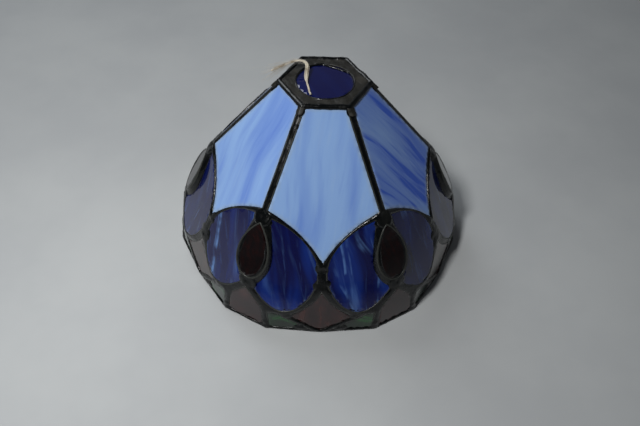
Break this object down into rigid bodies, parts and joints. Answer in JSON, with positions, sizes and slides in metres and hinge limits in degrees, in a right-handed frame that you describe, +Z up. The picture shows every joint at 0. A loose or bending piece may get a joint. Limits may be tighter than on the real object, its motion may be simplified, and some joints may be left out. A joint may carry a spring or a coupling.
{
  "type": "stained glass lamp hood",
  "caption": "Hexagonal stained-glass lamp hood: opal upper panels, a peacock-feather band and a closed glass cap, held in dark solder seams. It stands on its rim over a light.",
  "frame": {"origin": "middle of the hood's foot, on the surface the rim stands on", "axes": "+Z up through the middle of the cap; -Y is the middle of side 1, the side that faces the viewer"},
  "size_m": [0.2318, 0.2246, 0.158],
  "materials": {
    "opal_blue_glass": "streaky light-blue opalescent sheet glass, glossy, nearly opaque by daylight",
    "cobalt_glass": "deep cobalt wispy glass with pale blue streaks, very glossy",
    "maroon_glass": "very dark mottled red glass, glossy",
    "russet_glass": "red-brown streaky glass, glossy",
    "green_glass": "dark mottled green glass, glossy",
    "patina_solder": "hand-run solder bead with black patina, lumpy, satin with bright glints",
    "cotton_string": "frayed unbleached cotton string"
  },
  "bodies": {
    "root": {"panel_1": "opal_blue_glass", "diamond_1": "russet_glass", "eye_1": "maroon_glass", "house_1": "russet_glass", "feather_left_1": "cobalt_glass", "leaf_left_1": "green_glass", "feather_right_1": "cobalt_glass", "leaf_right_1": "green_glass", "solder_seams_1": "patina_solder", "panel_2": "opal_blue_glass", "diamond_2": "russet_glass", "eye_2": "maroon_glass", "house_2": "russet_glass", "feather_left_2": "cobalt_glass", "leaf_left_2": "green_glass", "feather_right_2": "cobalt_glass", "leaf_right_2": "green_glass", "solder_seams_2": "patina_solder", "panel_3": "opal_blue_glass", "diamond_3": "russet_glass", "eye_3": "maroon_glass", "house_3": "russet_glass", "feather_left_3": "cobalt_glass", "leaf_left_3": "green_glass", "feather_right_3": "cobalt_glass", "leaf_right_3": "green_glass", "solder_seams_3": "patina_solder", "panel_4": "opal_blue_glass", "diamond_4": "russet_glass", "eye_4": "maroon_glass", "house_4": "russet_glass", "feather_left_4": "cobalt_glass", "leaf_left_4": "green_glass", "feather_right_4": "cobalt_glass", "leaf_right_4": "green_glass", "solder_seams_4": "patina_solder", "panel_5": "opal_blue_glass", "diamond_5": "russet_glass", "eye_5": "maroon_glass", "house_5": "russet_glass", "feather_left_5": "cobalt_glass", "leaf_left_5": "green_glass", "feather_right_5": "cobalt_glass", "leaf_right_5": "green_glass", "solder_seams_5": "patina_solder", "panel_6": "opal_blue_glass", "diamond_6": "russet_glass", "eye_6": "maroon_glass", "house_6": "russet_glass", "feather_left_6": "cobalt_glass", "leaf_left_6": "green_glass", "feather_right_6": "cobalt_glass", "leaf_right_6": "green_glass", "solder_seams_6": "patina_solder", "cap_glass": "cobalt_glass", "cap_band": "patina_solder", "rim_bead": "patina_solder", "tag_string": "cotton_string"}
  },
  "joints": []
}
